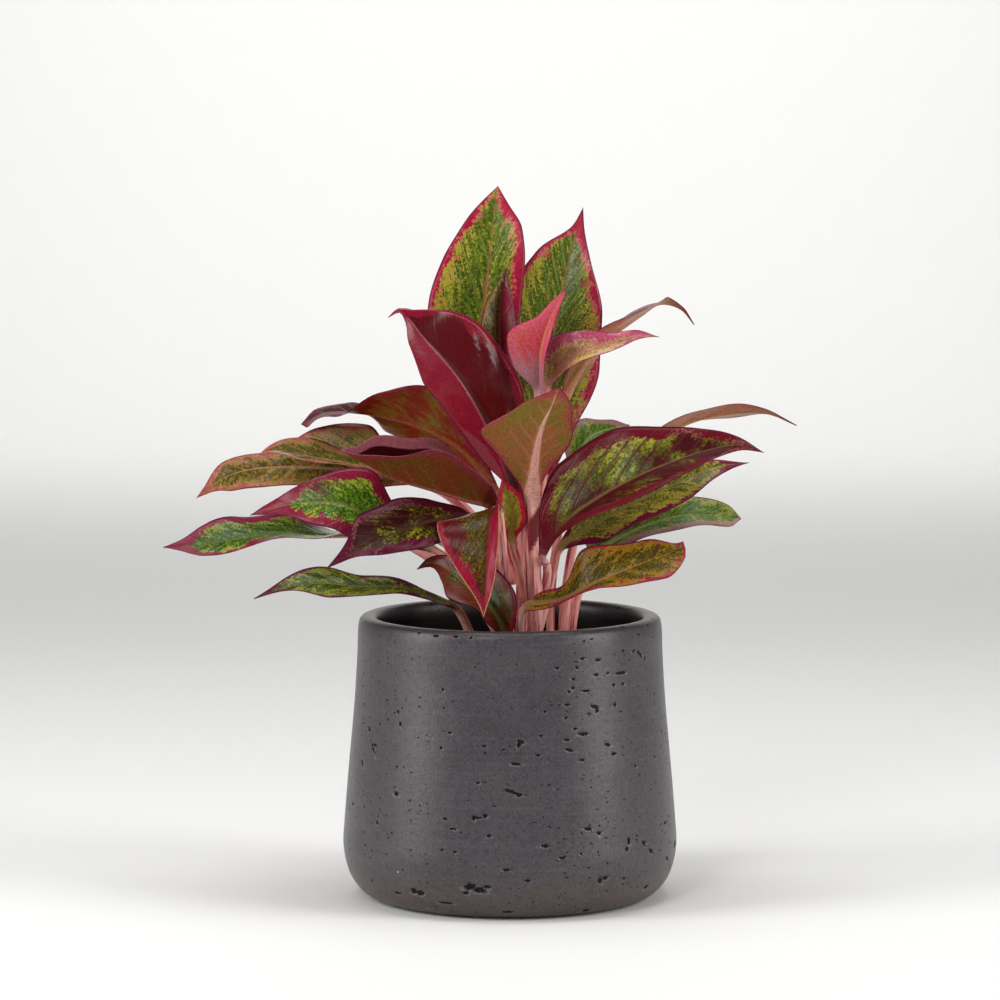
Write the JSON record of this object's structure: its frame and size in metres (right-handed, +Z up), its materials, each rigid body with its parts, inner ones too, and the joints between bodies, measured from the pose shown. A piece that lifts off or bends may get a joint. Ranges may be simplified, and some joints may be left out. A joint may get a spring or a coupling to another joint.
{
  "type": "potted aglaonema",
  "caption": "Potted aglaonema: a bushy foliage plant with crimson-edged green leaves on pink stalks, standing in a round rough concrete planter.",
  "frame": {"origin": "centre of the planter's flat underside, where it stands", "axes": "+Z up along the planter's axis, +X to the right and +Y away from the viewer as the plant is seen from the front"},
  "size_m": [0.3202, 0.2106, 0.3572],
  "materials": {
    "concrete": "matte",
    "black_plastic": "satin",
    "soil": "matte",
    "cane": "satin",
    "leaf": "satin"
  },
  "bodies": {
    "root": {"concrete_pot": "concrete", "leaf_back_green": "leaf", "leaf_back_left": "leaf", "leaf_back_low_centre": "leaf", "leaf_back_low_left": "leaf", "leaf_back_right": "leaf", "leaf_back_small": "leaf", "leaf_back_upper": "leaf", "leaf_big_red_left": "leaf", "leaf_centre_small": "leaf", "leaf_crown_left": "leaf", "leaf_crown_right": "leaf", "leaf_front_centre_red": "leaf", "leaf_front_underside": "leaf", "leaf_left_front_dark": "leaf", "leaf_left_long_orange": "leaf", "leaf_left_low_long": "leaf", "leaf_left_lowest": "leaf", "leaf_left_mid": "leaf", "leaf_left_salmon_tip": "leaf", "leaf_left_second": "leaf", "leaf_left_small_low": "leaf", "leaf_left_upper_arch": "leaf", "leaf_right_back_tip": "leaf", "leaf_right_big": "leaf", "leaf_right_low": "leaf", "leaf_right_second": "leaf", "leaf_right_third": "leaf", "leaf_upper_right": "leaf", "leaf_upper_right_long_tip": "leaf", "leaf_young_pink": "leaf", "leaf_young_spear": "leaf", "left_cane": "cane", "main_cane": "cane", "nursery_pot": "black_plastic", "potting_soil": "soil", "right_cane": "cane", "young_sheath": "cane"}
  },
  "joints": []
}
